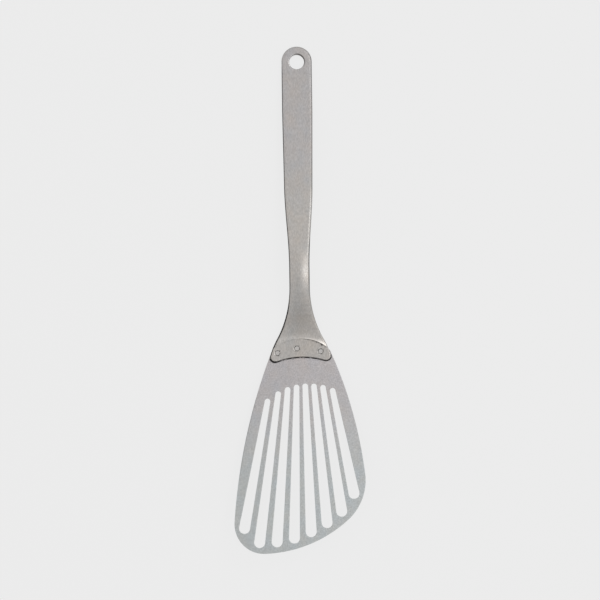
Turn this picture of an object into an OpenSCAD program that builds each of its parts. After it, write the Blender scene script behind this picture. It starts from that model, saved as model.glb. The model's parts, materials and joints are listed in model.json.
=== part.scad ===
// Slotted turner of stainless steel: a pressed handle, a thin slanted blade with eight drain
// slots, and three rivets. It is drawn in the tool's own frame and then laid down on a surface.
// Tool frame: X across, Y towards the hanging hole, Z up. Y = 0 is where the neck ends and the
// paddle begins, and Z = 0 is the flat underside of the blade.

/* [Handle, seen from above] */
// Length from the start of the paddle to the hanging end
handle_len = 181.5; // [176:0.5:190]
// Width of the grip
grip_w = 18.9; // [17:0.1:21]
// Narrowing of the grip, on each side, by the time it reaches the neck
grip_taper = 0.6; // [0:0.1:1]
// Place along the handle where the grip stops being parallel
taper_start = 140; // [130:1:150]
// Place along the handle where the grip begins to narrow into the neck
neck_start = 95; // [88:1:105]
// Place along the handle where the neck is at its narrowest
waist_start = 43; // [40:1:50]
// Width of the neck at its narrowest
waist_w = 12.6; // [11:0.1:14]
// Place along the handle where the neck begins to flare into the paddle
flare_start = 31; // [30:0.5:34]
// Radius of the flare
flare_r = 66; // [60:1:72]
// Angle that the side has turned through at the end of the flare
flare_turn = 29; // [26:0.5:30]
// Diameter of the hanging hole
hang_d = 9.4; // [6:0.1:11]
// Distance from the hanging end to the middle of the hole
hang_inset = 9.8; // [8.5:0.1:14]

/* [Paddle, the flattened end that holds the blade] */
// Radius of the paddle's side between the flare and its corner
paddle_side_r = 52.5; // [46:0.5:58]
// Angle that the paddle's side turns back through
paddle_side_turn = 12; // [9:0.5:14]
// Radius of the paddle's corners
corner_r = 3; // [2.5:0.1:3.5]
// Slope of the arched front edge where it meets the corner
front_arch_slope = 18.5; // [14:0.5:22]
// Lean of the front edge, down on the left and up on the right
front_lean = 1.4; // [0:0.1:2]
// Radius of the arched shoulder behind the paddle
shoulder_r = 27.7; // [26:0.1:32]

/* [Thickness and side view] */
// Thickness of the grip
grip_t = 2.5; // [2:0.1:3]
// Thickness of the neck where it is at its thickest, halfway down its bend
full_t = 3.3; // [2.8:0.1:4]
// Place along the handle where the neck is at its thickest
thick_y = 20; // [16:1:26]
// Thickness of the neck where it ends at the shoulder, without the lip
shoulder_t = 2.9; // [2.8:0.05:3.3]
// How far the left half of the shoulder is pressed down
left_drop = 0.4; // [0:0.05:0.45]
// Height of the lip along the right half of the shoulder
lip_h = 0.5; // [0:0.05:0.6]
// Width of that lip
lip_w = 3; // [2:0.5:4]
// How far the lip falls away at the right edge
lip_fall = 0.9; // [0:0.1:1]
// Thickness of the paddle
paddle_t = 1.4; // [1.2:0.1:1.6]
// Width of the rounding along the edges of the grip
edge_r = 1.5; // [0.8:0.1:1.8]
// Width of the rounding along the edges of the paddle
paddle_edge_r = 0.6; // [0.3:0.05:0.7]
// Height of the crown along the top of the neck
crown_h = 0.75; // [0:0.05:1.2]
// Place along the handle where the crown begins
crown_start = 58; // [54:1:66]
// Place along the handle where the crown is full
crown_full = 42; // [38:1:46]
// Height of the handle above the blade
neck_rise = 15; // [10:0.5:20]
// Place along the handle where the bend of the neck ends
bend_end = 50; // [44:1:54]
// Evenness of the bend: at 1 it is even, and below that it is sharper beside the paddle
bend_shape = 0.8; // [0.64:0.02:1]

/* [Blade] */
// Thickness of the blade
blade_t = 1; // [0.8:0.1:1.2]
// Half the width of the blade at its heel, under the paddle
heel_half = 17.6; // [17.2:0.1:17.8]
// Slant of the left side at the heel, from the long axis
heel_slant = 21.9; // [21:0.1:22.8]
// Radius of the long left side
left_side_r = 355; // [345:5:365]
// Angle that the left side turns through
left_side_turn = 17.75; // [17:0.25:18.5]
// Radius of the front left corner
left_nose_r = 18.3; // [17.5:0.1:19]
// Angle that the front left corner turns through
left_nose_turn = 95.2; // [94:0.2:96]
// Radius of the slanted front edge
front_edge_r = 81; // [79:0.5:83]
// Angle that the front edge turns through
front_edge_turn = 40.3; // [39.5:0.1:41]
// Radius of the front right corner
right_nose_r = 32.8; // [32:0.1:34]
// Angle that the front right corner turns through
right_nose_turn = 55; // [54:0.2:56]
// Radius of the long right side
right_side_r = 265; // [255:5:275]
// Angle that the right side turns through
right_side_turn = 17.4; // [17:0.1:18]
// Radius of the upward sweep at the front
sweep_r = 350; // [250:10:600]
// Distance from the paddle's start to where the sweep begins
sweep_start = 82; // [70:1:95]

/* [Slots] */
// Distance behind the paddle's start of the point from which the slots fan out
fan_y = 69; // [64:0.5:74]
// Angle between one slot and the next
fan_step = 3.12; // [3:0.02:3.2]
// Radius of the arc on which the slots begin
slot_arc_r = 40; // [38:0.5:44]
// Place of that arc's middle across the blade
slot_arc_x = 4.5; // [3:0.1:6]
// Place of that arc's middle along the blade
slot_arc_y = -70.6; // [-72:0.1:-69]
// Radius of a slot's back end
slot_back_r = 1.75; // [1.4:0.05:1.9]
// Radius of a slot's front end
slot_front_r = 3.4; // [3:0.05:3.5]
// Width of the rim left in front of the slots
rim = 3.3; // [2.6:0.1:4]
// How much narrower that rim is in front of the two outermost slots
outer_rim_cut = 0.75; // [0:0.05:1]

/* [Rivets] */
// Diameter of a rivet's shank
rivet_d = 2; // [1.6:0.1:2.2]
// Diameter of its flush head, which leaves a fine ring in its countersink
head_d = 2.8; // [2.4:0.1:3]
// Diameter of the countersinks, in the paddle and in the underside of the blade
sink_d = 3.5; // [3.2:0.1:3.7]
// Depth of the countersinks
sink_h = 0.6; // [0.4:0.05:0.7]

/* [Hidden] */
steel = "silver";
slot_count = 8;
left_rivet = [-14.4, -9.7];
centre_rivet = [-2.2, -7];
right_rivet = [12.6, -9];
// Gap between the blade's back edge and the step that it is seated against
heel_gap = 0.2;
// How far in front of the shoulder's step the lean of the front edge begins
lean_gap = 5;
// Places across the shoulder between which its step deepens
step_left_x = -4;
step_right_x = 12;
// Place across the shoulder from which the lip falls away
fall_x = 10.5;
// How far a cutting tool reaches past the metal
clear = 1;

// Outlines are walked along as chains of tangent arcs. A place on the way is [x, y, heading],
// and a stretch is [turn, length], so a straight stretch has a turn of 0.
function arc_stretch(radius, turn) = [turn, radius * abs(turn) * PI / 180];
function split(stretch, n) = [for (i = [1:n]) stretch / n];
function step_on(place, stretch) =
    let (half = stretch[0] / 2)
    let (chord = abs(half) < 0.001 ? stretch[1] : stretch[1] * sin(half) / (half * PI / 180))
    let (way = place[2] + half)
    [place[0] + chord * cos(way), place[1] + chord * sin(way), place[2] + stretch[0]];
function walk(place, stretches, i = 0) =
    i == len(stretches)
        ? [place]
        : concat([place], walk(step_on(place, stretches[i]), stretches, i + 1));
// Point at a distance to one side of a place, where the side is an angle from its heading.
function beside(place, side_angle, distance) =
    [place[0] + distance * cos(place[2] + side_angle), place[1] + distance * sin(place[2] + side_angle)];

// Rises smoothly from 0 to 1 while t goes from 0 to 1.
function ease(t) =
    let (u = min(max(t, 0), 1))
    u * u * (3 - 2 * u);
// Drop of an arc of the given curvature at a distance x from its middle.
function sag(x, curvature) = x * x * curvature / (1 + sqrt(1 - pow(x * curvature, 2)));

// Right-hand side of the handle, from beside the middle of its hanging end to the corner of the
// paddle, where the arched front edge begins.
grip_r = grip_w / 2;
tip_skip = 6;
tip = walk([grip_r * sin(tip_skip), handle_len - grip_r * (1 - cos(tip_skip)), -tip_skip],
    split(arc_stretch(grip_r, tip_skip - 90), 9));
function half_width(y) =
    grip_r - grip_taper * min(max((taper_start - y) / (taper_start - neck_start), 0), 1)
        - (grip_r - grip_taper - waist_w / 2) * ease((neck_start - y) / (neck_start - waist_start));
grip = [for (y = concat([taper_start, (taper_start + neck_start) / 2],
        [for (j = [0:12]) neck_start + (waist_start - neck_start) * j / 12]))
    [half_width(y), y, atan(half_width(y - 1) - half_width(y)) - 90]];
paddle_arc = arc_stretch(paddle_side_r, -paddle_side_turn);
// Shares of the paddle's side: what lies behind the shoulder's step, and the step itself
step_at = 0.5;
step_share = 0.04;
to_flare_end = split(arc_stretch(flare_r, flare_turn), 16);
to_step = concat(to_flare_end, split(paddle_arc * step_at, 4));
corner_turn = 90 + front_arch_slope + flare_turn - paddle_side_turn;
flare = walk([waist_w / 2, flare_start, -90], concat(
    to_step,
    [paddle_arc * step_share],
    split(paddle_arc * (1 - step_at - step_share), 3),
    split(arc_stretch(corner_r, -corner_turn), 9)
));
side = concat(tip, grip, flare);
last = len(side) - 1;
flare_first = len(tip) + len(grip);
step_top = flare_first + len(to_step);
bow_stations = 13;
bow_start = step_top - bow_stations;

// Each station of the handle crosses it on a curve that is straight in the neck, bends into
// the arc of the shoulder, and ends as the arch of the paddle's front edge.
shoulder_bend = 1 / shoulder_r;
front_bend = sin(front_arch_slope) / side[last][0];
function bend(i) =
    i <= step_top + 1
        ? shoulder_bend * ease((i - bow_start) / bow_stations)
        : shoulder_bend + (front_bend - shoulder_bend) * (i - step_top - 1) / (last - step_top - 1);

// Middle of a station, a little in from its edge, and the place of the shoulder's step.
function round_r(y) = paddle_edge_r + (edge_r - paddle_edge_r) * ease(y / thick_y);
function inner(i) = beside(side[i], 90, -round_r(side[i][1]));
function middle_y(i) = inner(i)[1] + sag(inner(i)[0], bend(i));
step_y = middle_y(step_top);
step_x = side[step_top][0];
// Lean of the paddle's front part: how far a point moves along the handle.
lean_start = step_y - lean_gap;
function lean(x, y) = x * tan(front_lean) * ease((lean_start - y) / (lean_start - side[last][1]));

// Side view: how far the underside has risen at y, and its slope there. The bend eases in and
// out along a power of its length, so that it is steeper near the paddle. A station is as high
// all across, so the bend begins along the arc of the shoulder.
function bend_share(y) = min(max(y / bend_end, 0), 1);
function rise(y) = neck_rise * ease(pow(bend_share(y), bend_shape));
function rise_slope(y) =
    let (t = bend_share(y))
    t == 0 ? 0 : neck_rise / bend_end * 6 * bend_shape * pow(t, 2 * bend_shape - 1) * (1 - pow(t, bend_shape));

// Thickness at a station whose middle is at y, and the heights of the two faces. In front of
// the step the paddle is thin and lies on the blade. Beside the step the top is pressed down on
// the left, and swells into a lip on the right that falls away at the edge.
function neck_t(y) =
    grip_t + (full_t - grip_t) * ease((neck_start - y) / (neck_start - thick_y))
        - (full_t - shoulder_t) * ease((thick_y - y) / (thick_y - step_y));
function to_the_right(x) = ease((x - step_left_x) / (step_right_x - step_left_x));
function by_the_step(y, width) = ease((step_y + width - y) / width);
function lip(x, y) =
    lip_h * to_the_right(x) * by_the_step(y, lip_w)
        - (left_drop * (1 - to_the_right(x)) + lip_fall * pow(max(x - fall_x, 0) / (step_x - fall_x), 2))
            * by_the_step(y, 2 * lip_w);
function crown(y) = crown_h * ease((crown_start - y) / (crown_start - crown_full)) * ease(y / thick_y);
function floor_z(i) = i > step_top ? blade_t : rise(middle_y(i));
function roof_z(i, x) =
    let (y = middle_y(i))
    i > step_top ? blade_t + paddle_t : rise(y) + neck_t(y) * sqrt(1 + pow(rise_slope(y), 2)) + lip(x, y);

// A ring runs over the top from left to right, round the right edge, back underneath, and up
// round the left edge.
across = [for (j = [-4:4]) j / 4];
edge_angles = [60, 30, 0, -30, -60];
columns = len(across);
rows = len(edge_angles);
ring_len = 2 * (columns + rows);
function line_point(i, s) =
    let (x = s * inner(i)[0])
    [x, middle_y(i) - sag(x, bend(i))];
function top_point(i, s) =
    let (p = line_point(i, s))
    [p[0], p[1] + lean(p[0], p[1]), roof_z(i, p[0]) + crown(middle_y(i)) * (1 - s * s)];
function under_point(i, s) =
    let (p = line_point(i, s))
    [p[0], p[1] + lean(p[0], p[1]), floor_z(i)];
// Point on the rounded edge, out from p along a normal, at an angle up from the middle.
function edge_point(i, p, normal, up) =
    let (out = round_r(side[i][1]) * cos(up))
    let (x = p[0] + out * cos(normal), y = p[1] + out * sin(normal))
    let (low = floor_z(i), high = roof_z(i, x))
    [x, y + lean(x, y), (low + high) / 2 + (high - low) / 2 * sin(up)];
function ring(i) =
    let (normal = side[i][2] + 90)
    concat(
        [for (s = across) top_point(i, s)],
        [for (a = edge_angles) edge_point(i, line_point(i, 1), normal, a)],
        [for (s = across) under_point(i, -s)],
        [for (a = edge_angles) edge_point(i, line_point(i, -1), 180 - normal, -a)]
    );
// Rounding of an end that faces along facing: the rows of points between the ring's own.
function end_rows(i, facing) = [for (a = edge_angles, j = [1:columns - 2])
    edge_point(i, line_point(i, across[j]), facing + across[j] * (side[i][2] + 90 - facing), a)];
tip_rows_at = (last + 1) * ring_len;
front_rows_at = tip_rows_at + rows * (columns - 2);
function end_index(i, rows_at, r, j) =
    r == 0 ? i * ring_len + j
        : r == rows + 1 ? i * ring_len + 2 * columns + rows - 1 - j
        : j == 0 ? i * ring_len + ring_len - r
        : j == columns - 1 ? i * ring_len + columns + r - 1
        : rows_at + (r - 1) * (columns - 2) + j - 1;
function two_triangles(a, b, c, d) = [[a, b, c], [a, c, d]];
tube_faces = [for (i = [0:last - 1], j = [0:ring_len - 1], t =
    let (a = i * ring_len, k = (j + 1) % ring_len)
    two_triangles(a + j, a + k, a + ring_len + k, a + ring_len + j)) t];
tip_faces = [for (r = [0:rows], j = [0:columns - 2], t = two_triangles(
    end_index(0, tip_rows_at, r, j), end_index(0, tip_rows_at, r + 1, j),
    end_index(0, tip_rows_at, r + 1, j + 1), end_index(0, tip_rows_at, r, j + 1))) t];
front_faces = [for (r = [0:rows], j = [0:columns - 2], t = two_triangles(
    end_index(last, front_rows_at, r, j), end_index(last, front_rows_at, r, j + 1),
    end_index(last, front_rows_at, r + 1, j + 1), end_index(last, front_rows_at, r + 1, j))) t];

// Blade seen from above: round the outside from the left of the heel, then back along the
// arc under the shoulder.
heel_y = middle_y(step_top + 1) - heel_gap;
function heel_point(x) = [x, heel_y - sag(x, shoulder_bend)];
edge = walk([-heel_half, heel_point(heel_half)[1], -90 - heel_slant], concat(
    split(arc_stretch(left_side_r, left_side_turn), 12),
    split(arc_stretch(left_nose_r, left_nose_turn), 20),
    split(arc_stretch(front_edge_r, front_edge_turn), 16),
    split(arc_stretch(right_nose_r, right_nose_turn), 16),
    split(arc_stretch(right_side_r, right_side_turn), 10)
));
heel_steps = 10;
heel_arc = [for (j = [heel_steps - 1:-1:1 - heel_steps]) heel_point(heel_half * j / heel_steps)];

// Slots fan out from one point, begin on an arc and end at a rim, which the two outermost slots
// narrow a little. Their number out from the middle is from -1 to 1.
fan = [0, fan_y];
function out_from_middle(i) = 2 * i / (slot_count - 1) - 1;
function fan_way(i) =
    let (a = fan_step * (slot_count - 1) / 2 * out_from_middle(i))
    [sin(a), -cos(a)];
function rim_at(i) = rim - outer_rim_cut * pow(out_from_middle(i), 6);
function slot_begin(way) =
    let (w = [slot_arc_x, slot_arc_y] - fan)
    way * w - sqrt(pow(slot_arc_r, 2) - pow(norm(w), 2) + pow(way * w, 2));
function slot_end(way, inset) =
    let (inside = [for (p = edge) beside(p, 90, inset) - fan])
    max([for (i = [1:len(inside) - 1])
        let (a = cross(way, inside[i - 1]), b = cross(way, inside[i]))
        if (a * b <= 0) norm(inside[i - 1] + (inside[i] - inside[i - 1]) * a / (a - b))]);
function slot_outline(i) =
    let (way = fan_way(i), start = slot_begin(way), finish = slot_end(way, rim_at(i) + slot_front_r))
    let (flank = asin((slot_front_r - slot_back_r) / (finish - start)))
    concat(
        round_end(way, start, slot_back_r, 180, 90 - flank, 10),
        round_end(way, finish, slot_front_r, 0, 90 + flank, 16)
    );
function round_end(way, distance, r, middle, spread, n) = [for (j = [0:n])
    let (a = middle + spread * (2 * j / n - 1))
    fan + way * (distance + r * cos(a)) + [-way[1], way[0]] * r * sin(a)];

// Side view of the blade, as [y, z]: flat to the sweep, then a large arc upwards, one step a
// degree, to past the front edge.
front_y = min([for (p = edge) p[1]]);
front_reach = -front_y - sweep_start;
sweep_end = ceil(asin(front_reach / sweep_r)) + 1;
function sweep_point(a, r) = [-sweep_start - r * sin(a), sweep_r - r * cos(a)];
blade_side = concat(
    [[clear, 0]],
    [for (a = [0:1:sweep_end]) sweep_point(a, sweep_r)],
    [for (a = [sweep_end:-1:0]) sweep_point(a, sweep_r - blade_t)],
    [[clear, blade_t]]
);

// Everything is laid down as it comes to rest: the neck and the end of the handle touch the
// surface, and the front of the blade is clear of it.
rest_tilt = atan(neck_rise / (handle_len - edge_r));
function laid_y(y, z) = y * cos(rest_tilt) + z * sin(rest_tilt);
front_z = sweep_r - sqrt(pow(sweep_r, 2) - pow(front_reach, 2));
mid_x = (min([for (p = edge) p[0]]) + max([for (p = edge) p[0]])) / 2;
mid_y = (laid_y(handle_len, neck_rise + grip_t / 2) + laid_y(front_y, front_z)) / 2;
module laid_down() {
    translate([-mid_x, -mid_y, 0])
        rotate([-rest_tilt, 0, 0])
        children();
}

stack_t = blade_t + paddle_t;
module rivet_hole(place) {
    translate([place[0], place[1], -clear])
        cylinder(d = rivet_d, h = stack_t + 2 * clear, $fn = 32);
}
// Countersink, or the metal that fills one: wide at a face and down to the shank's width.
module top_cone(place, wide) {
    translate([place[0], place[1], stack_t - sink_h])
        cylinder(d1 = rivet_d, d2 = wide, h = sink_h, $fn = 32);
}
module under_cone(place, wide) {
    translate([place[0], place[1], 0])
        cylinder(d1 = wide, d2 = rivet_d, h = sink_h, $fn = 32);
}

module handle() {
    color(steel)
        laid_down()
        difference() {
            polyhedron(
                points = concat([for (i = [0:last], p = ring(i)) p], end_rows(0, 90), end_rows(last, -90)),
                faces = concat(tube_faces, tip_faces, front_faces)
            );
            translate([0, handle_len - hang_inset, neck_rise - clear])
                cylinder(d = hang_d, h = grip_t + 2 * clear, $fn = 64);
            for (place = [left_rivet, centre_rivet, right_rivet]) {
                rivet_hole(place);
                top_cone(place, sink_d);
            }
        }
}

module blade() {
    blade_span = 2 * (handle_len - front_y);
    color(steel)
        laid_down()
        difference() {
            intersection() {
                rotate([90, 0, 90])
                    linear_extrude(height = blade_span, center = true)
                    polygon(blade_side);
                translate([0, 0, -clear])
                    linear_extrude(height = front_z + blade_t + 2 * clear)
                    difference() {
                        polygon(concat([for (p = edge) [p[0], p[1]]], heel_arc));
                        for (i = [0:slot_count - 1])
                            polygon(slot_outline(i));
                    }
            }
            for (place = [left_rivet, centre_rivet, right_rivet]) {
                rivet_hole(place);
                under_cone(place, sink_d);
            }
        }
}

// A rivet's tail fills the countersink under the blade. Its head is flush with the paddle and
// smaller than its countersink, so a fine ring shows round it.
module rivet(place) {
    color(steel)
        laid_down() {
            translate([place[0], place[1], 0])
                cylinder(d = rivet_d, h = stack_t, $fn = 32);
            top_cone(place, head_d);
            under_cone(place, sink_d);
        }
}

module rivet_left() rivet(left_rivet);
module rivet_centre() rivet(centre_rivet);
module rivet_right() rivet(right_rivet);

handle();
blade();
rivet_left();
rivet_centre();
rivet_right();
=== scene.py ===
import json

import bmesh
import bpy
import numpy as np
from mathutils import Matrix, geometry


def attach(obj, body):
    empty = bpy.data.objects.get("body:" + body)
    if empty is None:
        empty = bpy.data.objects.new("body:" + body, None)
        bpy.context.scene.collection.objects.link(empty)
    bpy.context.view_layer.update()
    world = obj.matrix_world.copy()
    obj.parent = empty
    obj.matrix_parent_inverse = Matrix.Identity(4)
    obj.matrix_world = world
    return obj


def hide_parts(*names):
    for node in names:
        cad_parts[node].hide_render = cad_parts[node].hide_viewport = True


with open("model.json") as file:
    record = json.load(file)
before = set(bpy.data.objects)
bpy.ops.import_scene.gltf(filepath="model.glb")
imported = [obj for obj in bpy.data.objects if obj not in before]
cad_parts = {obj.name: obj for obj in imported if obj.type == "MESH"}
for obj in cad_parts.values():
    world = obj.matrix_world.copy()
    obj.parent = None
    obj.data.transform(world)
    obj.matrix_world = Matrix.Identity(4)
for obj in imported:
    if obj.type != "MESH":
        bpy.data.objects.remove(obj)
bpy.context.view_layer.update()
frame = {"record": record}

# Handle: one strip of stainless steel, pressed to shape and satin brushed along its length. The
# grip is flat with rounded edges, the neck is crowned and bends down in an S, and the end is
# flattened behind an arched shoulder into the paddle that is riveted over the blade.

# Shapes are worked out in millimetres in the tool's own frame: X across, Y towards the hanging
# hole with 0 where the paddle begins, and Z up from the flat underside of the blade.
HANDLE_LEN = 181.5
GRIP_W = 18.9
GRIP_TAPER = 0.6
TAPER_START = 140
NECK_START = 95
WAIST_START = 43
WAIST_W = 12.6
FLARE_START = 31
FLARE_R, FLARE_TURN = 66, 29
PADDLE_SIDE_R, PADDLE_SIDE_TURN = 52.5, 12
CORNER_R = 3
FRONT_SLOPE = 18.5
FRONT_LEAN = np.tan(np.radians(1.4))
LEAN_GAP = 5
SHOULDER_R = 27.7
HANG_D = 9.4
HANG_Y = HANDLE_LEN - 9.8
GRIP_T = 2.5
FULL_T = 3.3
THICK_Y = 20
SHOULDER_T = 2.9
LEFT_DROP = 0.4
STEP_LEFT_X, STEP_RIGHT_X = -4, 12
LIP_H, LIP_W = 0.5, 3.0
LIP_FALL, FALL_X = 0.9, 10.5
PADDLE_T = 1.4
EDGE_R = 1.5
PADDLE_EDGE_R = 0.6
CROWN_H = 0.75
CROWN_START, CROWN_FULL = 58, 42
NECK_RISE = 15
BEND_END = 50
BEND_SHAPE = 0.8
BLADE_T = 1.0
PADDLE_TOP = BLADE_T + PADDLE_T
RIVETS = {"rivet_left": (-14.4, -9.7), "rivet_centre": (-2.2, -7), "rivet_right": (12.6, -9)}
RIVET_D = 2.0
SINK_D = 3.5
SINK_H = 0.6
HOLE_PATCH_Y = 156
HOLE_ROUND = 0.45
TIP_PITCH, FLARE_PITCH, PADDLE_PITCH = 0.35, 0.13, 0.9
PATCH_ROWS, GRIP_ROWS = 24, 170
NECK_COLOUR = (0.382, 0.364, 0.346)
GRIP_COLOUR = (0.368, 0.353, 0.349)


def ease(t):
    """Rises smoothly from 0 to 1 while t goes from 0 to 1, as 3 t squared less 2 t cubed."""
    u = np.clip(t, 0, 1)
    return u * u * (3 - 2 * u)


def between(value, start, end):
    """Rises smoothly from 0 to 1 while the value goes from start to end, up or down."""
    return ease((value - start) / (end - start))


def arc(radius, turn):
    """One stretch of an outline: the angle that it turns through and its length along the arc."""
    return turn, radius * np.radians(abs(turn))


def walk(start, heading, stretches, pitch):
    """Follows tangent arcs in short steps: each step turns a little, and its chord is the step's
    length times sin(half turn) over half turn. Returns the points and the heading at each."""
    turns, lengths = np.array(stretches, float).T
    counts = np.maximum(np.ceil(lengths / pitch).astype(int), 2)
    turn = np.repeat(np.radians(turns) / counts, counts)
    length = np.repeat(lengths / counts, counts)
    headings = np.radians(heading) + np.cumsum(turn)
    middle = headings - turn / 2
    chord = (length * np.sinc(turn / (2 * np.pi)))[:, None]
    steps = chord * np.stack([np.cos(middle), np.sin(middle)], 1)
    points = np.vstack([start, start + np.cumsum(steps, 0)])
    return points, np.append(np.radians(heading), headings)


def sag(x, bend):
    """Drop of an arc of curvature bend at a distance x from its middle."""
    return x**2 * bend / (1 + np.sqrt(1 - (x * bend) ** 2))


def half_width(y):
    """Half the width of the grip and neck: a slight taper, then an eased narrowing to the waist."""
    taper = GRIP_TAPER * np.clip((TAPER_START - y) / (TAPER_START - NECK_START), 0, 1)
    drop = GRIP_W / 2 - GRIP_TAPER - WAIST_W / 2
    return GRIP_W / 2 - taper - drop * between(y, NECK_START, WAIST_START)


# The right side, from the middle of the hanging end to the corner of the paddle.
TIP_SKIP = 2
tip_start = GRIP_W / 2 * np.array([np.sin(np.radians(TIP_SKIP)), np.cos(np.radians(TIP_SKIP)) - 1])
tip_start[1] += HANDLE_LEN
tip_xy, tip_way = walk(tip_start, -TIP_SKIP, [arc(GRIP_W / 2, TIP_SKIP - 90)], TIP_PITCH)
to_patch = np.linspace(HANDLE_LEN - GRIP_W / 2, HOLE_PATCH_Y, PATCH_ROWS)[1:]
past_patch = np.linspace(HOLE_PATCH_Y, FLARE_START, GRIP_ROWS)[1:-1]
grip_y = np.concatenate([to_patch, past_patch])
grip_xy = np.stack([half_width(grip_y), grip_y], 1)
grip_way = np.arctan(half_width(grip_y - 0.5) - half_width(grip_y + 0.5)) - np.pi / 2
flare_arc, paddle_arc = arc(FLARE_R, FLARE_TURN), arc(PADDLE_SIDE_R, -PADDLE_SIDE_TURN)
corner_turn = 90 + FRONT_SLOPE + FLARE_TURN - PADDLE_SIDE_TURN
flare_stretches = [flare_arc, paddle_arc, arc(CORNER_R, -corner_turn)]
flare_top = np.array([WAIST_W / 2, FLARE_START])
flare_xy, flare_way = walk(flare_top, -90, flare_stretches, FLARE_PITCH)
side = np.vstack([tip_xy, grip_xy, flare_xy])
side_way = np.concatenate([tip_way, grip_way, flare_way])
patch_row = len(tip_xy) + len(to_patch) - 1

# Each station crosses the handle on a curve: straight in the neck, then the arc of the shoulder,
# and at last the arch of the paddle's front edge. The step at the shoulder is 0.4 mm wide, half
# way along the arc of the paddle's side.
BOW_START = 14.6
STEP_AT, STEP_LONG = 0.5, 0.04
step_start = flare_arc[1] + STEP_AT * paddle_arc[1]
step_end = step_start + STEP_LONG * paddle_arc[1]
travel = np.zeros(len(side))
travel[-len(flare_xy):] = np.append(0, np.cumsum(np.hypot(*np.diff(flare_xy, axis=0).T)))
shoulder_bend = 1 / SHOULDER_R
front_bend = np.sin(np.radians(FRONT_SLOPE)) / side[-1, 0]
past_step = np.clip((travel - step_end) / (travel[-1] - step_end), 0, 1)
bend = shoulder_bend * between(travel, BOW_START, step_start)
bend += (front_bend - shoulder_bend) * past_step
round_r = PADDLE_EDGE_R + (EDGE_R - PADDLE_EDGE_R) * between(side[:, 1], 0, THICK_Y)
inner = side - round_r[:, None] * np.stack([-np.sin(side_way), np.cos(side_way)], 1)
middle_y = inner[:, 1] + sag(inner[:, 0], bend)
on_paddle = between(travel, step_start, step_end)
step_y, heel_end_y = np.interp([step_start, step_end], travel, middle_y)
step_x = np.interp(step_start, travel, side[:, 0])

# Each station is as high all across, so the bend begins along the arc of the shoulder. Its
# underside climbs by the easing curve on a power of the way along the bend, and the strip's
# thickness is measured square to that slope.
t = np.clip(middle_y / BEND_END, 1e-9, 1)
climb = NECK_RISE * ease(t**BEND_SHAPE)
slope = NECK_RISE / BEND_END * 6 * BEND_SHAPE * t ** (2 * BEND_SHAPE - 1) * (1 - t**BEND_SHAPE)
neck_t = GRIP_T + (FULL_T - GRIP_T) * between(middle_y, NECK_START, THICK_Y)
neck_t -= (FULL_T - SHOULDER_T) * between(middle_y, THICK_Y, step_y)
neck_top = climb + neck_t * np.sqrt(1 + slope**2)
crown = CROWN_H * between(middle_y, CROWN_START, CROWN_FULL) * between(middle_y, 0, THICK_Y)
floor = climb * (1 - on_paddle) + BLADE_T * on_paddle


def to_the_right(x):
    """Rises from 0 to 1 across the part of the shoulder where the step deepens."""
    return between(x, STEP_LEFT_X, STEP_RIGHT_X)


def by_the_step(i, width):
    """Rises from 0 to 1 over the last of the neck, this wide, before the step."""
    return between(middle_y[i], step_y + width, step_y)


def roof_z(i, x):
    """Top on station i, without the crown. By the step it is pressed down on the left and swells
    into a lip on the right, which falls away at the edge as the square of the way there."""
    falls = LIP_FALL * (np.maximum(x - FALL_X, 0) / (step_x - FALL_X)) ** 2
    lip = LIP_H * to_the_right(x) * by_the_step(i, LIP_W)
    lip = lip - (LEFT_DROP * (1 - to_the_right(x)) + falls) * by_the_step(i, 2 * LIP_W)
    return (neck_top[i] + lip) * (1 - on_paddle[i]) + PADDLE_TOP * on_paddle[i]


ACROSS = np.linspace(-1, 1, 41)
EDGE_TURN = np.radians(np.linspace(90, -90, 15))[1:-1]


def line(i, s):
    """Points across the handle on stations i, at shares s of the way to the rounded edges. The
    front of the paddle leans: it is lower on the left and higher on the right."""
    x = s * inner[i, 0]
    y = middle_y[i] - sag(x, bend[i])
    start = step_y - LEAN_GAP
    return x, y + FRONT_LEAN * x * between(y, start, side[-1, 1])


def edge_rows(i, x, y, facing):
    """The rounded edge out from (x, y) towards facing: a half ellipse between top and underside."""
    out = round_r[i] * np.cos(EDGE_TURN)
    px, py = x + out * np.cos(facing), y + out * np.sin(facing)
    low, high = floor[i], roof_z(i, px)
    return np.stack([px, py, (low + high) / 2 + (high - low) / 2 * np.sin(EDGE_TURN)], -1)


def rings(stations):
    """Closed rings round the handle at these stations: over the top, round the right edge, back
    underneath and up round the left edge."""
    i = stations[:, None]
    x, y = line(i, ACROSS)
    top = np.stack([x, y, roof_z(i, x) + crown[i] * (1 - ACROSS**2)], -1)
    under = np.stack([x, y, np.broadcast_to(floor[i], y.shape)], -1)[:, ::-1]
    facing = side_way[i] + np.pi / 2
    right = edge_rows(i, *line(i, 1), facing)
    left = edge_rows(i, *line(i, -1), np.pi - facing)[:, ::-1]
    return np.concatenate([top, right, under, left], 1)


def end_rows(station, facing):
    """The rounded end at a station, as a grid from its top line over the edge to its lower line."""
    i = np.full((len(ACROSS), 1), station)
    x, y = line(i, ACROSS[:, None])
    turned = facing + ACROSS[:, None] * (side_way[station] + np.pi / 2 - facing)
    edge = edge_rows(i, x, y, turned)
    top = np.stack([x, y, roof_z(i, x) + crown[i] * (1 - ACROSS[:, None] ** 2)], -1)
    under = np.stack([x, y, np.broadcast_to(floor[i], y.shape)], -1)
    return np.concatenate([top, edge, under], 1)


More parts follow.
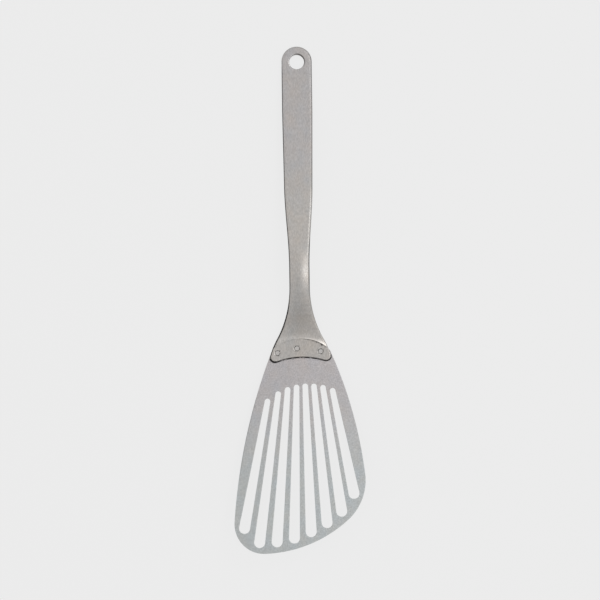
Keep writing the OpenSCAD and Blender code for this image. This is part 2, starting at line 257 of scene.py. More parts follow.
# Painted shade lies along the sides as a fine dark line. It runs down the left from near the tip
# and down the right beside the bend, and is wider on the flare. On the grip, painted shade also
# darkens the whole of the right edge, over its reflection. Each pair of places says where an effect
# starts and where it is full.
LINE_W, LINE_FADE = 0.33, 0.15
FLARE_LINE_W, FLARE_LINE_FADE = 0.35, 0.2
FLARE_LINE_Y = 26, 14
LEFT_DARK, LEFT_FLARE_DARK = 0.85, 0.15
LEFT_Y = 172, 162
RIGHT_DARK = 0.75
RIGHT_TOP_Y, RIGHT_FOOT_Y = (62, 56), (18, 36)
RIGHT_EDGE_SHADE = 0.3
EDGE_SHADE_FOOT_Y, EDGE_SHADE_TOP_Y = (80, 96), (HANDLE_LEN, HANDLE_LEN - 8)
LINE_FOOT_TURN = 0.4


def dark_line(gap, on_flare):
    """How dark the line is at a gap from the outline: 1 over its width, and fading beyond it."""
    width = LINE_W + FLARE_LINE_W * on_flare
    return 1 - ease((gap - width) / (LINE_FADE + FLARE_LINE_FADE * on_flare))


def side_painted_shade(stations):
    """How dark the painted shade is on the right edge, across the left half of the top and on the
    left edge, whose points run from under to top and where it stays above the middle."""
    i = stations[:, None]
    y = middle_y[i]
    on_flare = between(y, *FLARE_LINE_Y)
    edge_line = dark_line(round_r[i] * (1 - np.cos(EDGE_TURN)), on_flare)
    top_line = dark_line(round_r[i] + inner[i, 0] * (1 + ACROSS), on_flare)
    right = RIGHT_DARK * between(y, *RIGHT_TOP_Y) * between(y, *RIGHT_FOOT_Y)
    left = (LEFT_DARK + LEFT_FLARE_DARK * on_flare) * between(y, *LEFT_Y)
    # Painted shade darkens the right edge of the grip, over its reflection.
    right_edge_shade = RIGHT_EDGE_SHADE * between(y, *EDGE_SHADE_FOOT_Y) * between(y, *EDGE_SHADE_TOP_Y)
    upper = between(EDGE_TURN, LINE_FOOT_TURN, 0)
    return right * edge_line + right_edge_shade, left * top_line, left * edge_line * upper


def strip(rows, closed):
    """Faces of a grid of rows of points, where each row may close on itself."""
    count, length = rows
    k = np.arange(length if closed else length - 1)
    start = (np.arange(count - 1) * length)[:, None]
    a, b = start + k, start + (k + 1) % length
    return np.stack([a, b, b + length, a + length], -1).reshape(-1, 4)


def sheet(grid, closed, worn_and_highlit=0.0, painted_shade=0.0):
    """A grid of points as one part of a piece: its points, its faces, how far its edges are rubbed,
    with painted highlight in the same mark, and how much painted shade lies on it, as one number
    or as one for each point."""
    shape = grid.shape[:2]
    marks = np.stack([np.broadcast_to(v, shape) for v in (worn_and_highlit, painted_shade)], -1)
    return grid.reshape(-1, 3), strip(shape, closed), marks.reshape(-1, 2)


def inside_loop(points, loop):
    """True where a level line from the point crosses the loop an odd number of times."""
    a, b = loop, np.roll(loop, -1, 0)
    y = points[:, 1:2]
    spans = (a[:, 1] > y) != (b[:, 1] > y)
    climb = np.where(a[:, 1] == b[:, 1], 1, b[:, 1] - a[:, 1])
    at = a[:, 0] + (y - a[:, 1]) / climb * (b[:, 0] - a[:, 0])
    return (spans & (points[:, 0:1] < at)).sum(1) % 2 == 1


def fill(loops, pitch, extra=None):
    """Triangles of a flat sheet with holes: the first loop is its outline and the others are holes,
    with an even grid of points between them, and any extra points. The grid stays 0.4 of its pitch
    clear of the extra points, and both stay 0.25 of it clear of the loops."""
    outer = loops[0]
    x = np.arange(outer[:, 0].min(), outer[:, 0].max(), pitch)
    y = np.arange(outer[:, 1].min(), outer[:, 1].max(), pitch)
    grid = np.stack(np.meshgrid(x, y), -1).reshape(-1, 2)
    if extra is not None:
        crowd = np.array([np.hypot(*(extra - p).T).min() for p in grid])
        grid = np.vstack([grid[crowd > 0.4 * pitch], extra])
    keep = inside_loop(grid, outer)
    for hole in loops[1:]:
        keep &= ~inside_loop(grid, hole)
    grid = grid[keep]
    border = np.vstack(loops)
    gap = np.array([np.hypot(*(border - p).T).min() for p in grid])
    grid = grid[gap > 0.25 * pitch]
    starts = np.cumsum([0] + [len(loop) for loop in loops])
    links = []
    for loop, start in zip(loops, starts):
        k = np.arange(len(loop))
        links.append(np.stack([start + k, start + (k + 1) % len(loop)], 1))
    every = np.vstack([border, grid])
    found = geometry.delaunay_2d_cdt(every.tolist(), np.vstack(links).tolist(), [], 0, 1e-5)
    points, triangles = np.array([list(v) for v in found[0]]), np.array(found[2])
    middles = points[triangles].mean(1)
    keep = inside_loop(middles, outer)
    for hole in loops[1:]:
        keep &= ~inside_loop(middles, hole)
    return points, triangles[keep]


# The tool is turned back until the end of its handle touches the surface. The hanging hole's mount
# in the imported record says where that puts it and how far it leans.
hang = next(m for m in frame["record"]["mounts"] if m["name"] == "hang_hole")
TILT_SIN, TILT_COS = hang["axis"][1:]


def laid_down(points):
    """Turns points about the middle of the hanging hole and moves that to its place on the part.
    Millimetres go in and metres come out."""
    x, y, z = (points - [0, HANG_Y, NECK_RISE + GRIP_T / 2]).T
    turned = np.stack([x, y * TILT_COS + z * TILT_SIN, z * TILT_COS - y * TILT_SIN], 1)
    return turned / 1000 + hang["pos_m"]


def make_piece(name, parts):
    """One closed mesh from parts of (points, faces, rubbed edges with painted highlight, and
    painted shade), joined where their points meet, with its faces turned outwards."""
    starts = np.cumsum([0] + [len(points) for points, _, _ in parts])
    points = laid_down(np.vstack([points for points, _, _ in parts]))
    faces = [(np.asarray(f) + start).tolist() for (_, f, _), start in zip(parts, starts)]
    mesh = bpy.data.meshes.new(name)
    mesh.from_pydata(points, [], sum(faces, []))
    marks = np.vstack([m for _, _, m in parts]).astype(np.float32)
    for k, mark in enumerate(("wear_and_highlight", "painted_shade")):
        mesh.attributes.new(mark, "FLOAT", "POINT").data.foreach_set("value", marks[:, k].copy())
    work = bmesh.new()
    work.from_mesh(mesh)
    bmesh.ops.remove_doubles(work, verts=work.verts, dist=2e-6)
    bmesh.ops.recalc_face_normals(work, faces=work.faces)
    open_edges = sum(not e.is_manifold for e in work.edges)
    work.to_mesh(mesh)
    work.free()
    mesh.shade_smooth()
    piece = bpy.data.objects.new(name, mesh)
    bpy.context.scene.collection.objects.link(piece)
    print(name, "faces", len(mesh.polygons), "open edges", open_edges)
    return piece


# The body runs from the hanging hole to the foot of the step. Painted shade lies on the step,
# most on its right. A painted highlight lies on the crest above it there, over a band that
# widens to the right.
STEP_DARK, STEP_DARKER, STEP_DARKER_X = 0.2, 0.6, (3, 12)
CREST_W, CREST_WIDER, CREST_WIDER_X = 0.8, 1.4, (0, 14)
CREST_X = -6, 3
EDGE_WORN = 0.06
paddle_row = np.flatnonzero(on_paddle >= 1)[0]
body = np.arange(patch_row, paddle_row + 1)
body_rings = rings(body)
foot = on_paddle[body][:, None]
ring_x = body_rings[..., 0]
on_top = body_rings[..., 2] > PADDLE_TOP - 0.1
step_painted_shade = foot * (STEP_DARK + STEP_DARKER * between(ring_x, *STEP_DARKER_X)) * on_top
crest_w = CREST_W + CREST_WIDER * between(ring_x, *CREST_WIDER_X)
# The crest's band raises the rubbed-edge mark, which the handle's steel turns into a painted
# highlight.
crest_highlight = ease(1 - (middle_y[body][:, None] - step_y) / crest_w) * between(ring_x, *CREST_X)
edge_worn = np.repeat([0, EDGE_WORN, 0, EDGE_WORN], [len(ACROSS), len(EDGE_TURN)] * 2)
ring_wear_and_highlight = edge_worn + crest_highlight * (1 - foot) * on_top
right_painted_shade, top_painted_shade, left_painted_shade = side_painted_shade(body)
ring_painted_shade = step_painted_shade + np.concatenate([top_painted_shade, right_painted_shade, 0 * top_painted_shade, left_painted_shade], 1)
handle_parts = [sheet(body_rings, True, ring_wear_and_highlight, ring_painted_shade)]


def side_edges(stations):
    """The rounded edges of both sides over these stations, each with the lines that it ends on,
    and the painted shade on each."""
    both = rings(stations)
    right = both[:, len(ACROSS) - 1: len(ACROSS) + len(EDGE_TURN) + 1]
    left = np.concatenate([both[:, -len(EDGE_TURN) - 1:], both[:, :1]], 1)
    right_painted_shade, _, left_painted_shade = side_painted_shade(stations)
    both_painted_shade = [np.pad(painted_shade, ((0, 0), (1, 1))) for painted_shade in (right_painted_shade, left_painted_shade)]
    return list(zip((right, left), both_painted_shade))


# The paddle: a flat plate between the last ring and the arch of its front edge, with a countersunk
# hole for each rivet. The heads are smaller than their sinks, which leaves a fine ring round each.
# Its top is darkened a little, less on the left, and a spot of painted shade sits by the step's
# right end.
PADDLE_FILM, FILM_X = 0.08, (-17, -3)
SPOT, SPOT_R, SPOT_DARK = np.array([13.4, -4.8]), 1.3, 0.85
paddle = np.arange(paddle_row, len(side))
sides = [np.stack(line(paddle, s), 1) for s in (1, -1)]
first_line, last_line = [
    np.stack(line(np.full(len(ACROSS), row), ACROSS), 1) for row in (paddle_row, paddle[-1])
]
paddle_loop = np.vstack([first_line, sides[0][1:], last_line[::-1][1:], sides[1][::-1][1:-1]])
around = np.linspace(0, 2 * np.pi, 32, endpoint=False)
circle = np.stack([np.cos(around), np.sin(around)], 1)


def turned(profile, place=(0, 0)):
    """Surface of revolution about a place: a ring of points for each (radius, height)."""
    radius, height = np.array(profile, float).T[:, :, None]
    flat = np.array(place) + radius[..., None] * circle
    return np.concatenate([flat, np.broadcast_to(height[..., None], flat.shape[:2] + (1,))], -1)


spot_rows = np.vstack([SPOT + share * SPOT_R * circle[::2] for share in (0.2, 0.5, 0.8, 1)])
for height, hole_d in ((PADDLE_TOP, SINK_D), (BLADE_T, RIVET_D)):
    holes = [np.array(place) + hole_d / 2 * circle for place in RIVETS.values()]
    flat, triangles = fill([paddle_loop] + holes, PADDLE_PITCH, spot_rows)
    points = np.column_stack([flat, np.full(len(flat), height)])
    film_and_shade = PADDLE_FILM * between(flat[:, 0], *FILM_X)
    film_and_shade += SPOT_DARK * (1 - ease(np.hypot(*(flat - SPOT).T) / SPOT_R))
    handle_parts.append((points, triangles, np.stack([0 * film_and_shade, film_and_shade], 1)))
# The walls of the sinks carry painted shade.
for place in RIVETS.values():
    wall = turned([
        (SINK_D / 2, PADDLE_TOP), (RIVET_D / 2, PADDLE_TOP - SINK_H), (RIVET_D / 2, BLADE_T),
    ], place)
    handle_parts.append(sheet(wall, True, 0, np.array([[0.5], [1], [1]])))
paddle_edges = side_edges(paddle) + [(end_rows(paddle[-1], -np.pi / 2), 0)]
handle_parts += [sheet(grid, False, EDGE_WORN, painted_shade) for grid, painted_shade in paddle_edges]

# Round the hanging hole the surface runs out in rays, from the rim of the hole to the rounded
# edge of the grip, and on one side to the first of the body's rings. The rim is darkened with
# painted shade, most on its upper right.
HOLE_DARK, HOLE_DARK_WAY = 0.7, [0.8, 0.6]
near = np.arange(patch_row + 1)
right_edge = np.stack(line(near, 1), 1)
base_line, tip_line = [
    np.stack(line(np.full(len(ACROSS), row), ACROSS), 1) for row in (patch_row, 0)
]
outer = np.vstack([base_line, right_edge[::-1][1:], tip_line[::-1][1:], right_edge[1:-1] * [-1, 1]])
hole_mid = np.array([0, HANG_Y])
ray = outer - hole_mid
ray /= np.linalg.norm(ray, axis=1)[:, None]
rim_turn = np.linspace(0, np.pi / 2, 5)
flat_start = hole_mid + (HANG_D / 2 + HOLE_ROUND) * ray
flats = flat_start + np.linspace(1, 0, 9)[:-1, None, None] * (outer - flat_start)
rounds = hole_mid + (HANG_D / 2 + HOLE_ROUND * (1 - np.sin(rim_turn)))[:, None, None] * ray
half = np.concatenate([flats, rounds])
half_drop = np.concatenate([np.zeros(len(flats)), HOLE_ROUND * (1 - np.cos(rim_turn))])
row_z = NECK_RISE + np.concatenate([GRIP_T - half_drop, half_drop[::-1]])
patch = np.concatenate([half, half[::-1]])
patch = np.concatenate([patch, np.broadcast_to(row_z[:, None, None], patch.shape[:2] + (1,))], -1)
half_worn = np.repeat([0, EDGE_WORN], [len(flats), len(rounds)])
half_painted_shade = HOLE_DARK * ease(ray @ HOLE_DARK_WAY) * (half_worn > 0)[:, None]
patch_worn = np.append(half_worn, half_worn[::-1])[:, None]
patch_painted_shade = np.vstack([half_painted_shade, half_painted_shade[::-1]])
handle_parts.append(sheet(patch, True, patch_worn, patch_painted_shade))
tip_edges = side_edges(near) + [(end_rows(0, np.pi / 2), 0)]
handle_parts += [sheet(grid, False, EDGE_WORN, painted_shade) for grid, painted_shade in tip_edges]
handle = make_piece("turner_handle", handle_parts)


def new_node(tree, kind, **settings):
    """A node with its settings made."""
    made = tree.nodes.new(kind)
    for key, value in settings.items():
        setattr(made, key, value)
    return made


def feed(tree, socket, value):
    """Links a socket to another socket, or gives it a constant."""
    if isinstance(value, bpy.types.NodeSocket):
        tree.links.new(value, socket)
    else:
        socket.default_value = value


def maths(tree, operation, *values, kind="ShaderNodeMath"):
    """The result of one maths node on sockets and constants."""
    made = new_node(tree, kind, operation=operation)
    for socket, value in zip(made.inputs, values):
        feed(tree, socket, value)
    return made.outputs[0]


def steel_finish():
    """Node group for stainless steel: grain and brushed streaks of a given size, a soft mottle in
    tone and hue, a few hair scratches, edges rubbed by use, a painted highlight where the
    rubbed-edge mark is raised on the handle's lip, and painted shade in the seams and hollows."""
    tree = bpy.data.node_groups.new("steel_finish", "ShaderNodeTree")
    for name, kind, value in (
        ("Colour", "Color", (0.4, 0.39, 0.38, 1)),
        ("Grain per metre", "Vector", (1500, 600, 1500)),
        ("Streaks per metre", "Vector", (6000, 90, 6000)),
        ("Grain", "Float", 0.35), ("Streaks", "Float", 0.1), ("Mottle", "Float", 0.05),
        ("Scratches", "Float", 0.06), ("Roughness", "Float", 0.4), ("Bump", "Float", 0.2),
        ("Edge shade", "Float", 0.1),
    ):
        socket = tree.interface.new_socket(name, in_out="INPUT", socket_type="NodeSocket" + kind)
        socket.default_value = value
    for name, kind in (("Colour", "Color"), ("Roughness", "Float"), ("Normal", "Vector")):
        tree.interface.new_socket(name, in_out="OUTPUT", socket_type="NodeSocket" + kind)
    given = new_node(tree, "NodeGroupInput").outputs
    place = new_node(tree, "ShaderNodeTexCoord").outputs["Object"]
    hair_half, hair_gate = 0.006, 0.03
    hue_swing = 0.12
    painted_shade_dark = 0.9
    grain_depth = 0.00002

    def noise(per_metre, detail, where=place):
        """Noise from -0.5 to 0.5, stretched to so many features per metre on each axis."""
        made = new_node(tree, "ShaderNodeTexNoise")
        made.inputs["Scale"].default_value = 1
        made.inputs["Detail"].default_value = detail
        stretched = maths(tree, "MULTIPLY", where, per_metre, kind="ShaderNodeVectorMath")
        feed(tree, made.inputs["Vector"], stretched)
        return maths(tree, "SUBTRACT", made.outputs[0], 0.5)

    grain = noise(given["Grain per metre"], 2)
    streak = noise(given["Streaks per metre"], 2)
    mottle = noise((45, 30, 45), 4)
    hue = noise((130, 90, 130), 3)
    smudge = noise((22, 16, 22), 3)
    slanted = new_node(tree, "ShaderNodeMapping")
    slanted.inputs["Rotation"].default_value = (0, 0, np.radians(9))
    feed(tree, slanted.inputs["Vector"], place)
    hair = maths(tree, "ABSOLUTE", noise((420, 14, 420), 1, slanted.outputs[0]))
    hair = maths(tree, "SUBTRACT", 1, maths(tree, "DIVIDE", hair, hair_half))
    here = maths(tree, "GREATER_THAN", noise((60, 50, 60), 2), hair_gate)
    scratch = maths(tree, "MULTIPLY", maths(tree, "MAXIMUM", hair, 0), here)
    worn_and_highlit = new_node(tree, "ShaderNodeAttribute", attribute_name="wear_and_highlight").outputs["Fac"]
    painted_shade = new_node(tree, "ShaderNodeAttribute", attribute_name="painted_shade").outputs["Fac"]

    shade = 1
    for effect, amount in (
        (grain, given["Grain"]), (streak, given["Streaks"]), (mottle, given["Mottle"]),
        (scratch, given["Scratches"]), (worn_and_highlit, given["Edge shade"]),
    ):
        shade = maths(tree, "MULTIPLY_ADD", effect, amount, shade)
    # The second mark paints shade: where it is high, the colour is darker and the steel rougher.
    unshaded = maths(tree, "SUBTRACT", 1, maths(tree, "MULTIPLY", painted_shade, painted_shade_dark))
    shade = maths(tree, "MULTIPLY", shade, unshaded)
    warmth = new_node(tree, "ShaderNodeCombineXYZ")
    feed(tree, warmth.inputs["X"], maths(tree, "MULTIPLY_ADD", hue, hue_swing, 1))
    feed(tree, warmth.inputs["Y"], 1.0)
    feed(tree, warmth.inputs["Z"], maths(tree, "MULTIPLY_ADD", hue, -hue_swing, 1))
    tint = maths(tree, "MULTIPLY", given["Colour"], warmth.outputs[0], kind="ShaderNodeVectorMath")
    shaded = new_node(tree, "ShaderNodeVectorMath", operation="SCALE")
    feed(tree, shaded.inputs[0], tint)
    feed(tree, shaded.inputs["Scale"], shade)

    rough = given["Roughness"]
    for effect, amount in (
        (streak, 0.12), (smudge, 0.16), (worn_and_highlit, 0.04), (painted_shade, 0.3), (scratch, -0.1),
    ):
        rough = maths(tree, "MULTIPLY_ADD", effect, amount, rough)
    height = maths(tree, "ADD", streak, maths(tree, "MULTIPLY", scratch, -0.3))
    height = maths(tree, "ADD", grain, height)
    bump = new_node(tree, "ShaderNodeBump")
    bump.inputs["Distance"].default_value = grain_depth
    feed(tree, bump.inputs["Strength"], given["Bump"])
    feed(tree, bump.inputs["Height"], height)
    result = new_node(tree, "NodeGroupOutput").inputs
    feed(tree, result["Colour"], shaded.outputs[0])
    feed(tree, result["Roughness"], rough)
    feed(tree, result["Normal"], bump.outputs[0])
    return tree


STEEL = steel_finish()


def steel(piece, name, colour, **values):
    """Gives a piece its own steel: the shared finish with this piece's colour and values. Returns
    the material's tree and the finish's inputs."""
    material = bpy.data.materials.new(name)
    material.use_nodes = True
    tree = material.node_tree
    shader = tree.nodes["Principled BSDF"]
    shader.inputs["Metallic"].default_value = 1
    finish = new_node(tree, "ShaderNodeGroup", node_tree=STEEL)
    finish.inputs["Colour"].default_value = (*colour, 1)
    for key, value in values.items():
        finish.inputs[key.replace("_", " ")].default_value = value
    for given, taken in zip(finish.outputs, ("Base Color", "Roughness", "Normal")):
        tree.links.new(given, shader.inputs[taken])
    piece.data.materials.append(material)
    return tree, finish.inputs


def turn_colour(tree, finish, colour, other, from_y, to_y):
    """Lets a piece's colour turn into another from one place along it to the next, in metres."""
    along = new_node(tree, "ShaderNodeSeparateXYZ")
    feed(tree, along.inputs[0], new_node(tree, "ShaderNodeTexCoord").outputs["Object"])
    share = new_node(tree, "ShaderNodeMapRange", interpolation_type="SMOOTHSTEP")
    share.inputs["From Min"].default_value = from_y
    share.inputs["From Max"].default_value = to_y
    feed(tree, share.inputs["Value"], along.outputs["Y"])
    blend = new_node(tree, "ShaderNodeMix", data_type="RGBA")
    feed(tree, blend.inputs[0], share.outputs[0])
    feed(tree, blend.inputs[6], (*colour, 1))
    feed(tree, blend.inputs[7], (*other, 1))
    feed(tree, finish["Colour"], blend.outputs[2])


# Edge shade 0.45 brightens wherever the rubbed-edge mark is raised, and so paints the highlight on
# the lip's crest.
tree, finish = steel(
    handle, "satin_brushed_handle", NECK_COLOUR, Grain_per_metre=(1500, 600, 1500),
    Streaks_per_metre=(6000, 100, 6000), Grain=0.6, Streaks=0.12, Roughness=0.38, Edge_shade=0.45,
)
# The steel is painted lighter on the neck and darker on the grip: painted light and shade that even
# out how the lamps light them.
turn_colour(tree, finish, NECK_COLOUR, GRIP_COLOUR, from_y=0.05, to_y=0.1)
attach(handle, "root")
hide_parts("handle")

# Blade: one thin sheet of stainless steel, blanked with eight tapered slots and tumbled until
# its edges are soft. Its front is rolled gently upwards, and its heel lies under the paddle,
# whose seam with it holds a line of painted shadow. Its colour is warmer by the paddle and cooler
# towards the front, as a painted reflection.
HEEL_HALF = 17.6
HEEL_SLANT = 21.9
HEEL_GAP = 0.2
HEEL_Y = heel_end_y - HEEL_GAP
BLADE_SIDES = ((355, 17.75), (18.3, 95.2), (81, 40.3), (32.8, 55), (265, 17.4))
SWEEP_R = 350
SWEEP_START = 82
SLOT_COUNT = 8
FAN = np.array([0.0, 69.0])
FAN_STEP = 3.12
SLOT_ARC_MID = np.array([4.5, -70.6])
SLOT_ARC_R = 40
SLOT_BACK_R = 1.75
SLOT_FRONT_R = 3.4
RIM = 3.3
OUTER_RIM_CUT = 0.75
BLADE_EDGE_R = 0.16
INSET = 0.6
RIM_PITCH, BLADE_PITCH = 0.7, 1.6
BACK_POINTS, FRONT_POINTS, FLANK_POINTS = 15, 23, 90
SEAM_DARK, SEAM_FADE = 0.48, 0.3
SEAM_GAPS = (-0.5, 0, SEAM_DARK, SEAM_DARK + SEAM_FADE, 1.4)
RIM_DARK = 0.25
RIM_DARK_BACK_Y, RIM_DARK_FRONT_Y = (-33, -41), (-95, -79)
HEEL_COLOUR = (0.38, 0.362, 0.364)
FRONT_COLOUR = (0.371, 0.387, 0.388)


def side_normals(headings):
    """Unit vectors to the right of each heading, which is away from the metal."""
    return np.stack([np.sin(headings), -np.cos(headings)], 1)


heel_corner = np.array([-HEEL_HALF, HEEL_Y - sag(HEEL_HALF, 1 / SHOULDER_R)])
blade_arcs = [arc(radius, turn) for radius, turn in BLADE_SIDES]
edge_points, edge_headings = walk(heel_corner, -90 - HEEL_SLANT, blade_arcs, RIM_PITCH)
heel_x = np.linspace(edge_points[-1, 0], -HEEL_HALF, 60)[1:-1]
heel_points = np.stack([heel_x, HEEL_Y - sag(heel_x, 1 / SHOULDER_R)], 1)
heel_normals = np.stack([heel_x, np.sqrt(SHOULDER_R**2 - heel_x**2)], 1) / SHOULDER_R
rim_loop = np.vstack([edge_points, heel_points])
rim_normals = np.vstack([side_normals(edge_headings), heel_normals])


def slot_loop(index):
    """A tapered slot: two circles of different radius on a ray from the fan point, joined by their
    tangents. It begins on the slots' arc and ends at the rim, which is narrower for the outer
    slots by the sixth power of the way out. Returns points and normals that point into the slot."""
    out_from_middle = 2 * index / (SLOT_COUNT - 1) - 1
    angle = np.radians(FAN_STEP * (SLOT_COUNT - 1) / 2 * out_from_middle)
    way = np.array([np.sin(angle), -np.cos(angle)])
    to_arc = SLOT_ARC_MID - FAN
    begin = way @ to_arc - np.sqrt(SLOT_ARC_R**2 - to_arc @ to_arc + (way @ to_arc) ** 2)
    inset = RIM - OUTER_RIM_CUT * out_from_middle**6 + SLOT_FRONT_R
    inside = edge_points - inset * side_normals(edge_headings) - FAN
    off = way[0] * inside[:, 1] - way[1] * inside[:, 0]
    hit = np.flatnonzero(off[1:] * off[:-1] <= 0)
    share = (off[hit] / (off[hit] - off[hit + 1]))[:, None]
    end = ((inside[hit] + (inside[hit + 1] - inside[hit]) * share) @ way).max()
    flank = np.arcsin((SLOT_FRONT_R - SLOT_BACK_R) / (end - begin))
    back = np.pi + (np.pi / 2 - flank) * np.linspace(-1, 1, BACK_POINTS)
    front = (np.pi / 2 + flank) * np.linspace(-1, 1, FRONT_POINTS)
    turn = np.concatenate([back, front])
    middle = np.repeat([begin, end], [len(back), len(front)])
    radius = np.repeat([SLOT_BACK_R, SLOT_FRONT_R], [len(back), len(front)])
    across = np.array([-way[1], way[0]])
    outward = np.cos(turn)[:, None] * way + np.sin(turn)[:, None] * across
    points = FAN + middle[:, None] * way + radius[:, None] * outward
    run = np.linspace(0, 1, FLANK_POINTS)[1:-1, None]
    ends = len(back) - 1, len(back), len(turn) - 1
    first = points[ends[0]] + (points[ends[1]] - points[ends[0]]) * run
    second = points[ends[2]] + (points[0] - points[ends[2]]) * run
    loop = np.vstack([points[: len(back)], first, points[len(back):], second])
    normals = np.vstack([
        -outward[: len(back)],
        np.tile(-outward[ends[0]], (len(run), 1)),
        -outward[len(back):],
        np.tile(-outward[ends[2]], (len(run), 1)),
    ])
    return loop, normals


def blade_z(y, height):
    """Height of the blade at y: flat, then past the sweep's start on a circle about a point above
    it."""
    past = np.maximum(-(y + SWEEP_START), 0)
    return SWEEP_R - np.sqrt((SWEEP_R - height) ** 2 - past**2)


def sheet_edge(loop, normals):
    """Carries the sheet's edge along a loop: flat, rounded over, straight down and rounded under.
    Returns the rows of points and how worn each is."""
    turn = np.linspace(0, np.pi / 2, 5)
    out = BLADE_EDGE_R * (np.sin(turn) - 1)
    up = BLADE_T - BLADE_EDGE_R * (1 - np.cos(turn))
    offset = np.concatenate([[-INSET, -INSET / 2], out, out[::-1], [-INSET / 2, -INSET]])
    height = np.concatenate([[BLADE_T] * 2, up, BLADE_T - up[::-1], [0] * 2])
    worn_and_highlit = np.concatenate([[0, 0.5], np.ones(2 * len(turn)), [0.5, 0]])
    flat = loop + offset[:, None, None] * normals
    y = flat[..., 1]
    z = blade_z(y, np.broadcast_to(height[:, None], y.shape))
    return np.concatenate([flat, z[..., None]], -1), worn_and_highlit[:, None]


# The paddle's outline on the blade: its left side, its front and its right side. Extra points lie
# in rows along it, so that the painted shadow in the seam has a clean edge.
mid_edge = len(EDGE_TURN) // 2 + 1
right_rim, left_rim, front_rim = [grid[:, mid_edge, :2] for grid, _ in paddle_edges]
paddle_rim = np.vstack([left_rim, front_rim[1:-1], right_rim[::-1]])
rim_run = np.gradient(paddle_rim, axis=0)
rim_out = np.stack([rim_run[:, 1], -rim_run[:, 0]], 1) / np.linalg.norm(rim_run, axis=1)[:, None]
seam_rows = np.concatenate([(paddle_rim + gap * rim_out)[::3] for gap in SEAM_GAPS])


def seam_painted_shadow(points):
    """Painted shadow on the blade: full under the paddle and close to it, and fading out from
    there.
    """
    gap = np.array([np.hypot(*(paddle_rim - p).T).min() for p in points])
    under = inside_loop(points, np.vstack([paddle_rim, [0, 0]]))
    return np.where(under, 1, 1 - ease((gap - SEAM_DARK) / SEAM_FADE))


loops = [(rim_loop, rim_normals)] + [slot_loop(i) for i in range(SLOT_COUNT)]
# A faint line of painted shade lies on the left rim of the blade.
rim_x, rim_y = rim_loop.T
rim_painted_shade = RIM_DARK * (rim_x < 0) * between(rim_y, *RIM_DARK_BACK_Y)
rim_painted_shade *= between(rim_y, *RIM_DARK_FRONT_Y)
blade_parts = []
for loop, normals in loops:
    edge, worn_and_highlit = sheet_edge(loop, normals)
    painted_shade = rim_painted_shade * (worn_and_highlit > 0) if loop is rim_loop else 0
    blade_parts.append(sheet(edge, True, worn_and_highlit, painted_shade))
# The walls of the rivet holes in the blade carry painted shade.
for place in RIVETS.values():
    blade_parts.append(sheet(
        turned([(SINK_D / 2, 0), (RIVET_D / 2, SINK_H), (RIVET_D / 2, BLADE_T)], place), True, 0, 1,
    ))
inset_loops = [loop - INSET * normals for loop, normals in loops]
for height, hole_d, extra in ((BLADE_T, RIVET_D, seam_rows), (0, SINK_D, None)):
    holes = [np.array(place) + hole_d / 2 * circle for place in RIVETS.values()]
    flat, triangles = fill(inset_loops + holes, BLADE_PITCH, extra)
    points = np.column_stack([flat, blade_z(flat[:, 1], height)])
    painted_shade = seam_painted_shadow(flat) * (height > 0)
    blade_parts.append((points, triangles, np.stack([0 * painted_shade, painted_shade], 1)))
blade = make_piece("turner_blade", blade_parts)
tree, finish = steel(
    blade, "fine_matt_sheet", HEEL_COLOUR, Grain_per_metre=(1400, 1300, 1400),
    Streaks_per_metre=(3000, 200, 3000), Grain=0.75, Streaks=0.08, Roughness=0.42, Edge_shade=0.08,
)
# The colour turns from the heel's warmer tone to the front's cooler one: a painted reflection.
turn_colour(tree, finish, HEEL_COLOUR, FRONT_COLOUR, from_y=-0.045, to_y=-0.12)
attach(blade, "root")
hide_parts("blade")

# Rivets: three short pins of stainless steel, set cold. Both ends are spread into countersinks and
# dressed flush, with the underside of the blade and with the paddle, where a fine ring is left.
HEAD_D = 2.8
HEAD_ROUND = 0.12
HEAD_DIPS = ((0.7, 0.01), (0.4, 0.04), (0, 0.05))
SINK_GAP, PIN_GAP = 0.03, 0.01
RIVET_COLOUR = (0.395, 0.38, 0.368)
for node_name, place in RIVETS.items():
    over = np.linspace(0, np.pi / 2, 6)
    head_r = HEAD_D / 2 - HEAD_ROUND * (1 - np.cos(over))
    head_z = PADDLE_TOP - HEAD_ROUND * (1 - np.sin(over))
    profile = [(0, 0), (SINK_D / 2 - SINK_GAP, 0), (RIVET_D / 2 - PIN_GAP, SINK_H)]
    profile.append((RIVET_D / 2 - PIN_GAP, PADDLE_TOP - SINK_H))
    below_round = len(profile) + len(over) // 2
    profile += zip(head_r, head_z)
    profile += [(HEAD_D / 2 * share, PADDLE_TOP - dip) for share, dip in HEAD_DIPS]
    # Below its rounded rim, inside the sink, the rivet carries painted shade.
    painted_shade = np.where(np.arange(len(profile)) < below_round, 1, 0)[:, None]
    rivet_part = sheet(turned(profile, place), True, 0.5, painted_shade)
    rivet = make_piece(node_name.replace("rivet", "rivet_head"), [rivet_part])
    steel(
        rivet, "rivet_steel_" + node_name, RIVET_COLOUR,
        Grain_per_metre=(2500, 2500, 2500), Streaks_per_metre=(5000, 5000, 5000),
        Grain=0.3, Streaks=0.1, Roughness=0.36, Edge_shade=0.05,
    )
    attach(rivet, "root")
    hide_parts(node_name)

# Studio: a pale seamless table under a soft tent, with black cards low on the left and beyond the
# blade. Two soft lamps stand up and to the right, one beside the neck and one beyond it, and the
# camera looks straight down from about 1 m.
TABLE_GREY = 0.829
TABLE_GLOW = 0.95
CARD_GREY = 0.03
LAMP_FAR = 1.2
LAMPS = {
    "near_lamp": {"turn_x": 26, "turn_y": -10, "width": 0.26, "length": 0.34, "radiance": 4.2},
    "far_lamp": {"turn_x": 35, "turn_y": 30, "width": 0.44, "length": 0.32, "radiance": 6},
}


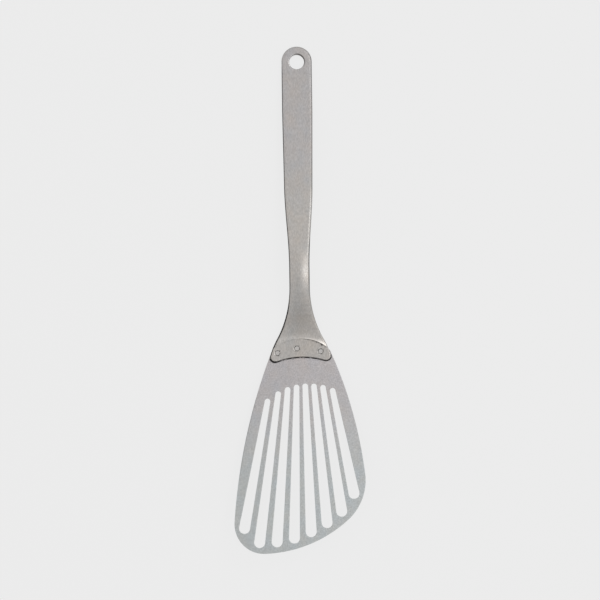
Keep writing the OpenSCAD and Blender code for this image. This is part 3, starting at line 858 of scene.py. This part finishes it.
def shown_to_eye(tree):
    """1 on rays from the camera, from gloss and through glass, which see the backdrop as it is."""
    path = new_node(tree, "ShaderNodeLightPath").outputs
    either = maths(tree, "MAXIMUM", path["Is Camera Ray"], path["Is Glossy Ray"])
    return maths(tree, "MAXIMUM", either, path["Is Transmission Ray"])


bpy.ops.mesh.primitive_plane_add(size=12, location=(0, 0, -0.0002))
table = bpy.context.active_object
table.name = "pale_table"
pale = bpy.data.materials.new("pale_table")
pale.use_nodes = True
tree = pale.node_tree
shader = tree.nodes["Principled BSDF"]
shader.inputs["Base Color"].default_value = (TABLE_GREY, TABLE_GREY, TABLE_GREY, 1)
shader.inputs["Roughness"].default_value = 0.9
shader.inputs["Specular IOR Level"].default_value = 0
glow = new_node(tree, "ShaderNodeEmission")
glow.inputs["Color"].default_value = (TABLE_GREY, TABLE_GREY, TABLE_GREY, 1)
blend = new_node(tree, "ShaderNodeMixShader")
feed(tree, blend.inputs["Fac"], maths(tree, "MULTIPLY", shown_to_eye(tree), TABLE_GLOW))
feed(tree, blend.inputs[1], shader.outputs[0])
feed(tree, blend.inputs[2], glow.outputs[0])
feed(tree, tree.nodes["Material Output"].inputs["Surface"], blend.outputs[0])
table.data.materials.append(pale)

room = bpy.data.worlds.new("soft_tent")
room.use_nodes = True
tree = room.node_tree
way = new_node(tree, "ShaderNodeSeparateXYZ")
feed(tree, way.inputs[0], new_node(tree, "ShaderNodeTexCoord").outputs["Generated"])
# The tent's light along each axis is at the level named up to the first place, and 1 from the
# second: it falls off towards the cards, is dimmer beyond the blade and a little brighter on the
# left.
level = 1
for axis, low, high, least in (
    ("X", -1.02, -0.88, 0), ("X", -0.4, -0.05, 1.1),
    ("Y", -1.15, -0.8, 0), ("Y", -0.78, -0.3, 0.71),
):
    fall = new_node(tree, "ShaderNodeMapRange", interpolation_type="SMOOTHSTEP")
    fall.inputs["From Min"].default_value = low
    fall.inputs["From Max"].default_value = high
    fall.inputs["To Min"].default_value = least
    feed(tree, fall.inputs["Value"], way.outputs[axis])
    level = maths(tree, "MULTIPLY", fall.outputs[0], level)
tent = maths(tree, "MULTIPLY_ADD", level, 1 - CARD_GREY, CARD_GREY)
seen = new_node(tree, "ShaderNodeMix", data_type="FLOAT")
feed(tree, seen.inputs[0], new_node(tree, "ShaderNodeLightPath").outputs["Is Camera Ray"])
feed(tree, seen.inputs[2], tent)
feed(tree, seen.inputs[3], TABLE_GREY)
tree.nodes["Background"].inputs["Color"].default_value = (1, 1, 1, 1)
feed(tree, tree.nodes["Background"].inputs["Strength"], seen.outputs[0])
bpy.context.scene.world = room

for name, plan in LAMPS.items():
    lamp = bpy.data.lights.new(name, "AREA")
    lamp.shape = "RECTANGLE"
    lamp.size, lamp.size_y = plan["width"], plan["length"]
    lamp.energy = plan["radiance"] * np.pi * plan["width"] * plan["length"]
    soft_lamp = bpy.data.objects.new(name, lamp)
    bpy.context.scene.collection.objects.link(soft_lamp)
    lean_x, lean_y = np.tan(np.radians([plan["turn_x"], plan["turn_y"]]))
    way_up = np.array([lean_x, lean_y, 1])
    soft_lamp.location = LAMP_FAR * way_up / np.linalg.norm(way_up)
    soft_lamp.rotation_euler = soft_lamp.location.to_track_quat("Z", "Y").to_euler()

PHOTO_PX, TOOL_PX, TOOL_LEN = 600, 507, 0.315
VIEW_WIDTH = PHOTO_PX * TOOL_LEN / TOOL_PX
VIEW_MIDDLE, VIEW_TURN = (0.00157, -0.00105), -0.77
LENS, SENSOR = 100, 36
FACE_HEIGHT = 0.010
camera = bpy.data.objects.new("camera", bpy.data.cameras.new("camera"))
bpy.context.scene.collection.objects.link(camera)
camera.data.lens = LENS
camera.data.sensor_width = SENSOR
camera.location = (*VIEW_MIDDLE, VIEW_WIDTH * LENS / SENSOR + FACE_HEIGHT)
camera.rotation_euler = (0, 0, np.radians(VIEW_TURN))
bpy.context.scene.camera = camera
bpy.context.scene.view_settings.view_transform = "Standard"
